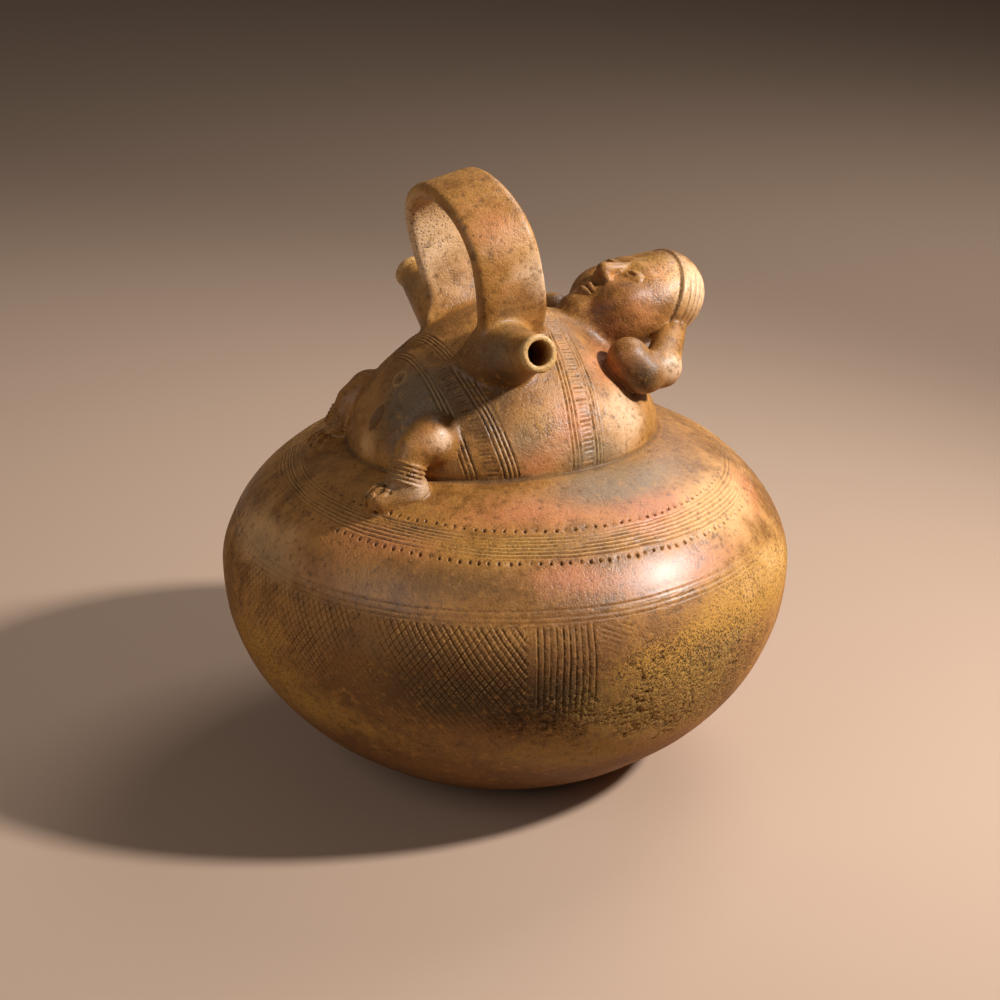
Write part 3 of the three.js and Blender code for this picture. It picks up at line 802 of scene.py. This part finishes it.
# meshing: dual cells of a grid round the surface, then finer triangles where there is carving

def grid_cells(step):
    low = np.array(GRID_LOW)
    high = np.array(GRID_HIGH)
    span = step * BLOCK
    counts = np.ceil((high - low) / span).astype(int)
    index = np.stack(np.meshgrid(*[np.arange(c) for c in counts], indexing="ij"), axis=-1).reshape(-1, 3)
    middle = low + (index + 0.5) * span
    near = np.abs(vessel_distance(middle)) < span * 1.15
    return low, counts * BLOCK + 4, index[near] * BLOCK


def dual_mesh(step):
    low, counts, blocks = grid_cells(step)
    corner = np.stack(np.meshgrid(*[np.arange(BLOCK + 1)] * 3, indexing="ij"), axis=-1)
    keys = []
    points = []
    quads = []
    stride = np.array((counts[1] * counts[2], counts[2], 1), dtype=np.int64)
    for first in range(0, len(blocks), BLOCKS_AT_ONCE):
        part = blocks[first:first + BLOCKS_AT_ONCE]
        index = part[:, None, None, None, :] + corner[None]
        value = vessel_distance((low + index.reshape(-1, 3) * step)).reshape(index.shape[:4])
        total = np.zeros((len(part), BLOCK, BLOCK, BLOCK, 3))
        crossings = np.zeros((len(part), BLOCK, BLOCK, BLOCK))
        for axis in range(3):
            a = np.take(value, np.arange(BLOCK), axis=axis + 1)
            b = np.take(value, np.arange(1, BLOCK + 1), axis=axis + 1)
            crossed = (a < 0) != (b < 0)
            share = np.where(crossed, a / np.where(crossed, a - b, 1), 0)
            others = [k for k in range(3) if k != axis]
            for du in range(2):
                for dv in range(2):
                    window = [slice(None)] * 4
                    window[others[0] + 1] = slice(du, du + BLOCK)
                    window[others[1] + 1] = slice(dv, dv + BLOCK)
                    hit = crossed[tuple(window)]
                    total[..., axis] += np.where(hit, share[tuple(window)], 0)
                    total[..., others[0]] += hit * du
                    total[..., others[1]] += hit * dv
                    crossings += hit
            own = [slice(None)] * 4
            own[others[0] + 1] = slice(0, BLOCK)
            own[others[1] + 1] = slice(0, BLOCK)
            where = np.argwhere(crossed[tuple(own)])
            at = part[where[:, 0]] + where[:, 1:]
            inward = a[tuple(own)][crossed[tuple(own)]] < 0
            side_u = np.zeros(3, dtype=np.int64)
            side_v = np.zeros(3, dtype=np.int64)
            side_u[others[0]] = 1
            side_v[others[1]] = 1
            ring = np.stack((at, at - side_u, at - side_u - side_v, at - side_v), axis=1)
            flip = inward if axis == 1 else ~inward
            ring[flip] = ring[flip][:, ::-1]
            quads.append(ring @ stride)
        used = np.argwhere(crossings > 0)
        sums = total[tuple(used.T)] / crossings[tuple(used.T)][:, None]
        cell = part[used[:, 0]] + used[:, 1:]
        keys.append(cell @ stride)
        points.append(low + (cell + sums) * step)
    keys = np.concatenate(keys)
    points = np.concatenate(points)
    quads = np.concatenate(quads)
    order = np.argsort(keys)
    keys = keys[order]
    points = points[order]
    place = np.clip(np.searchsorted(keys, quads), 0, len(keys) - 1)
    whole = (keys[place] == quads).all(axis=1)
    place = place[whole]
    tris = np.concatenate((place[:, (0, 1, 2)], place[:, (0, 2, 3)]))
    return points, tris


def settle(points, rounds=2):
    for _ in range(rounds):
        slope = gradient(points)
        points = points - np.clip(vessel_distance(points), -0.6, 0.6)[:, None] * slope
    return points


def carved(points):
    bowl = np.abs(bowl_distance(points)) < 1.5
    torso = np.abs(torso_distance(points)) < 1.5
    x, y, z = points.T
    level = np.zeros(len(points))
    r = np.hypot(x - RING_CENTRE[0], y - RING_CENTRE[1])
    level[bowl & (z > FIGURE_Z) & (r > 70.5) & (r < 85)] = 2
    turn = bearing(points)
    for low, high, start, end, fine in CARVED_BOWL:
        level[bowl & (z > low) & (z < high) & (turn > start) & (turn < end)] = fine
    for band in (WAIST_BAND, CHEST_BAND):
        lean = math.atan2(band["lean"], BAND_LEAN_HEIGHT)
        middle = TORSO["z"] + 0.5 * TORSO["height"]
        across = (x - band["x"]) * math.cos(lean) + (z - middle) * math.sin(lean)
        level[torso & (np.abs(across) < 9)] = 2
    figure = (z > 112) & (np.abs(hollow_distance(points)) > 1.5)
    level[figure & (x < -36)] = 2
    level[figure & (x > 26) & (z > 130)] = 2
    level[(z > 158) & (np.abs(y) > 28) & (np.abs(x - SPOUT["x"]) < 12)] = 1
    return level


def split(points, tris, marked):
    edges = np.concatenate((tris[:, (0, 1)], tris[:, (1, 2)], tris[:, (2, 0)]))
    edges = np.sort(edges, axis=1)
    key = edges[:, 0].astype(np.int64) * len(points) + edges[:, 1]
    unique, back = np.unique(key, return_inverse=True)
    cut = np.zeros(len(unique), dtype=bool)
    cut[back[np.tile(marked, 3)]] = True
    number = np.full(len(unique), -1)
    number[cut] = len(points) + np.arange(cut.sum())
    ends = np.stack((unique[cut] // len(points), unique[cut] % len(points)), axis=1)
    added = 0.5 * (points[ends[:, 0]] + points[ends[:, 1]])
    middle = number[back].reshape(3, -1).T
    made = [tris[(middle < 0).all(axis=1)]]
    count = (middle >= 0).sum(axis=1)
    a, b, c = tris[count == 3].T
    ab, bc, ca = middle[count == 3].T
    for corners in ((a, ab, ca), (ab, b, bc), (ca, bc, c), (ab, bc, ca)):
        made.append(np.stack(corners, axis=1))
    for turn in range(3):
        order = [(turn + i) % 3 for i in range(3)]
        rolled = tris[:, order]
        mids = middle[:, order]
        one = (count == 1) & (mids[:, 0] >= 0)
        a, b, c = rolled[one].T
        m = mids[one, 0]
        made.append(np.stack((a, m, c), axis=1))
        made.append(np.stack((m, b, c), axis=1))
        two = (count == 2) & (mids[:, 2] < 0)
        a, b, c = rolled[two].T
        m = mids[two, 0]
        n = mids[two, 1]
        made.append(np.stack((m, b, n), axis=1))
        made.append(np.stack((a, m, n), axis=1))
        made.append(np.stack((a, n, c), axis=1))
    return np.concatenate((points, added)), np.concatenate(made)


def vessel_mesh():
    points, tris = dual_mesh(GRID_STEP)
    points = settle(points)
    for round_number in range(REFINE_ROUNDS):
        level = carved(points)
        marked = level[tris].max(axis=1) > round_number
        before = len(points)
        points, tris = split(points, tris, marked)
        points[before:] = settle(points[before:], 1)
    height = relief(points)[0] + unevenness(points)
    points = points + height[:, None] * gradient(points)
    return points, tris


def named_mesh(name, points, tris):
    mesh = bpy.data.meshes.new(name)
    mesh.from_pydata((points * MM).tolist(), [], tris.tolist())
    mesh.update()
    return mesh


def thinned(obj, triangles):
    count = len(obj.data.polygons)
    if count <= triangles:
        return
    modifier = obj.modifiers.new("thin", "DECIMATE")
    modifier.ratio = triangles / count
    modifier.use_collapse_triangulate = True
    depsgraph = bpy.context.evaluated_depsgraph_get()
    mesh = bpy.data.meshes.new_from_object(obj.evaluated_get(depsgraph))
    obj.modifiers.clear()
    obj.data = mesh


# colour shares stored at the points: cut depth, which sets the painted shade in the cuts, wear and the
# patches, some of them painted light and shade

def patch_share(p, kind):
    turn = bearing(p)
    total = np.zeros(len(p))
    on_bowl = smooth_step(1.5, 0.5, np.abs(bowl_distance(p)))
    for name, way, z, wide, tall, strength in BOWL_PATCHES:
        if name == kind:
            off = (turn - way + 180) % 360 - 180
            total += strength * on_bowl * np.exp(-(off / wide) ** 2 - ((p[:, 2] - z) / tall) ** 2)
    for name, at, reach, strength in FIGURE_PATCHES:
        if name == kind:
            off = np.linalg.norm(p - np.array(at), axis=1) / reach
            total += strength * (1 - 0.8 * on_bowl) * np.exp(-off ** 2)
    return np.clip(total, 0, 1)


def rim_share(p):
    share = np.zeros(len(p))
    for side in (-1, 1):
        along, radial = spout_axes(p, side)
        share = np.maximum(share, smooth_step(-SPOUT_RIM, -1.0, along) * (radial < SPOUT_RIM_RADIUS))
    return share


def paint(obj):
    mesh = obj.data
    co = np.empty(len(mesh.vertices) * 3, dtype=np.float32)
    mesh.vertices.foreach_get("co", co)
    p = settle(co.reshape(-1, 3).astype(float) / MM, 3)
    height, worn = relief(p)
    fields = {"cut": np.clip(-height / 0.4, -1, 1), "worn": worn, "rim": rim_share(p)}
    on_bowl = smooth_step(1.5, 0.5, np.abs(bowl_distance(p)))
    fields["raw"] = on_bowl * smooth_step(92, 84, p[:, 2])
    burnished = on_bowl * smooth_step(86, 92, p[:, 2]) * smooth_step(106, 98, p[:, 2])
    fields["shine"] = np.maximum(burnished, 0.3 * (p[:, 2] > FIGURE_Z))
    for kind in PATCH_COLOURS:
        fields[kind] = patch_share(p, kind)
    for name, values in fields.items():
        layer = mesh.attributes.new(name, "FLOAT", "POINT")
        layer.data.foreach_set("value", values.astype(np.float32))


# materials

def wired(tree, made, values):
    for socket, value in values.items():
        if isinstance(value, bpy.types.NodeSocket):
            tree.links.new(value, made.inputs[socket])
        else:
            made.inputs[socket].default_value = value
    return made


def noise(tree, place, scale, detail):
    made = tree.nodes.new("ShaderNodeTexNoise")
    values = {"Vector": place, "Scale": scale, "Detail": detail, "Roughness": 0.6}
    return wired(tree, made, values).outputs["Fac"]


def ramp(tree, value, low, high, start=0.0, end=1.0):
    made = tree.nodes.new("ShaderNodeMapRange")
    made.interpolation_type = "SMOOTHSTEP"
    values = {"Value": value, "From Min": low, "From Max": high, "To Min": start, "To Max": end}
    return wired(tree, made, values).outputs["Result"]


def maths(tree, kind, a, b):
    made = tree.nodes.new("ShaderNodeMath")
    made.operation = kind
    return wired(tree, made, {0: a, 1: b}).outputs[0]


def blend(tree, share, first, second, kind="MIX"):
    made = tree.nodes.new("ShaderNodeMixRGB")
    made.blend_type = kind
    return wired(tree, made, {"Fac": share, "Color1": first, "Color2": second}).outputs["Color"]


def stored(tree, name):
    made = tree.nodes.new("ShaderNodeAttribute")
    made.attribute_name = name
    return made.outputs["Fac"]


def patchy(tree, name, grain, reach=0.35):
    mixed = maths(tree, "ADD", stored(tree, name), maths(tree, "MULTIPLY", grain, 0.9))
    return ramp(tree, mixed, 0.95 - reach, 0.95 + reach)


def clay_material():
    made = bpy.data.materials.new("clay")
    made.use_nodes = True
    tree = made.node_tree
    shader = tree.nodes["Principled BSDF"]
    place = tree.nodes.new("ShaderNodeTexCoord").outputs["Object"]
    cloud, mottle, fleck, grit = [noise(tree, place, *spec) for spec in GRAIN.values()]
    tone = maths(tree, "MULTIPLY", cloud, 0.55)
    tone = maths(tree, "ADD", tone, maths(tree, "MULTIPLY", mottle, 0.45))
    colour = blend(tree, ramp(tree, tone, 0.38, 0.62), BROWN, OCHRE)
    for name, shade in PATCH_COLOURS.items():
        colour = blend(tree, maths(tree, "MULTIPLY", patchy(tree, name, mottle), 0.7), colour, shade)
    colour = blend(tree, maths(tree, "MULTIPLY", stored(tree, "rim"), 0.6), colour, BURR)
    colour = blend(tree, ramp(tree, fleck, 0.54, 0.7, 0.0, 0.5), colour, OCHRE)
    colour = blend(tree, ramp(tree, fleck, 0.46, 0.32, 0.0, 0.5), colour, PATCH_COLOURS["umber_and_painted_shade"])
    colour = blend(tree, ramp(tree, grit, 0.41, 0.3, 0.0, 0.55), colour, GRIT_AND_GROOVE_SHADE)
    colour = blend(tree, ramp(tree, grit, 0.62, 0.76, 0.0, 0.4), colour, BURR)
    grainy = ramp(tree, stored(tree, "gold"), 0.1, 0.7)
    light_grain = maths(tree, "MULTIPLY", ramp(tree, grit, 0.5, 0.62, 0.0, 0.6), grainy)
    dark_grain = maths(tree, "MULTIPLY", ramp(tree, grit, 0.47, 0.37, 0.0, 0.7), grainy)
    colour = blend(tree, light_grain, colour, PATCH_COLOURS["gold"])
    colour = blend(tree, dark_grain, colour, PATCH_COLOURS["umber_and_painted_shade"])
    worn = stored(tree, "worn")
    pit = maths(tree, "MULTIPLY", ramp(tree, grit, 0.52, 0.4), ramp(tree, worn, 0.1, 0.5))
    colour = blend(tree, maths(tree, "MULTIPLY", pit, 0.5), colour, GRIT_AND_GROOVE_SHADE)
    cut = stored(tree, "cut")
    # painted shade in the cuts and pits, deeper where the cut is deeper
    colour = blend(tree, ramp(tree, cut, 0.2, 1.0, 0.0, 0.55), colour, GRIT_AND_GROOVE_SHADE)
    colour = blend(tree, ramp(tree, cut, -0.12, -0.5, 0.0, 0.4), colour, BURR)
    rough = ramp(tree, mottle, 0.35, 0.65, ROUGHNESS["low"], ROUGHNESS["high"])
    for name, share in ROUGHER:
        rough = maths(tree, "ADD", rough, maths(tree, "MULTIPLY", stored(tree, name), share))
    rough = maths(tree, "ADD", rough, ramp(tree, cut, 0.1, 0.6, 0.0, 0.4))
    bump = tree.nodes.new("ShaderNodeBump")
    uneven = maths(tree, "ADD", maths(tree, "MULTIPLY", fleck, 0.7), maths(tree, "MULTIPLY", grit, 0.5))
    uneven = maths(tree, "SUBTRACT", uneven, maths(tree, "MULTIPLY", pit, 0.6))
    wired(tree, bump, {"Strength": BUMP["strength"], "Distance": BUMP["distance"], "Height": uneven})
    wired(tree, shader, {"Base Color": colour, "Roughness": rough, "Normal": bump.outputs["Normal"]})
    coat = maths(tree, "MULTIPLY", stored(tree, "shine"), SHEEN["coat"])
    wired(tree, shader, {"Coat Weight": coat, "Coat Roughness": SHEEN["coat_rough"]})
    wired(tree, shader, {"Specular IOR Level": SHEEN["specular"]})
    return made


def plain_material(name, colour, roughness):
    made = bpy.data.materials.new(name)
    made.use_nodes = True
    shader = made.node_tree.nodes["Principled BSDF"]
    wired(made.node_tree, shader, {"Base Color": colour, "Roughness": roughness})
    return made


points, tris = vessel_mesh()
vessel = bpy.data.objects.new("vessel_body", named_mesh("vessel_body", points, tris))
bpy.context.scene.collection.objects.link(vessel)
thinned(vessel, TRIANGLES)
paint(vessel)
vessel.data.polygons.foreach_set("use_smooth", np.ones(len(vessel.data.polygons), dtype=bool))
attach(vessel, "root")
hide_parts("vessel")

floor_mesh = bpy.data.meshes.new("floor")
floor_mesh.from_pydata(FLOOR_CORNERS, [], [(0, 1, 2, 3)])
floor = bpy.data.objects.new("floor", floor_mesh)
bpy.context.scene.collection.objects.link(floor)

vessel.data.materials.append(clay_material())
floor_mesh.materials.append(plain_material("floor", FLOOR, 0.9))

camera_data = bpy.data.cameras.new("camera")
camera_data.sensor_width = 36
camera_data.lens = CAMERA_LENS["lens"]
camera_data.shift_x = CAMERA_LENS["shift_x"]
camera_data.shift_y = CAMERA_LENS["shift_y"]
camera = bpy.data.objects.new("camera", camera_data)
azimuth = math.radians(CAMERA["azimuth"])
elevation = math.radians(CAMERA["elevation"])
flat = CAMERA["distance"] * math.cos(elevation)
height = CAMERA["aim_z"] + CAMERA["distance"] * math.sin(elevation)
camera.location = (-flat * math.sin(azimuth), -flat * math.cos(azimuth), height)
camera.rotation_euler = (math.pi / 2 - elevation, 0, -azimuth)
bpy.context.scene.collection.objects.link(camera)
bpy.context.scene.camera = camera


def aimed(lamp, at, target):
    lamp.location = at
    way = mathutils.Vector(target) - mathutils.Vector(at)
    lamp.rotation_euler = way.to_track_quat("-Z", "Y").to_euler()
    bpy.context.scene.collection.objects.link(lamp)


middle = LIGHT_AIM
key = bpy.data.lights.new("key", "SPOT")
key.energy = KEY["power"]
key.shadow_soft_size = KEY["size"]
key.spot_size = math.radians(KEY["cone"])
key.spot_blend = 1.0
key_at = [m + KEY["distance"] * w for m, w in zip(middle, KEY["way"])]
aimed(bpy.data.objects.new("key", key), key_at, middle)
for name, spec in (("top", TOP), ("fill", FILL)):
    panel = bpy.data.lights.new(name, "AREA")
    panel.energy = spec["power"]
    panel.size = spec["size"]
    aimed(bpy.data.objects.new(name, panel), spec["at"], middle)
world = bpy.data.worlds.new("studio")
world.use_nodes = True
sky = world.node_tree.nodes["Background"]
wired(world.node_tree, sky, {"Color": SKY["colour"], "Strength": SKY["strength"]})
bpy.context.scene.world = world
bpy.context.scene.view_settings.view_transform = "Standard"
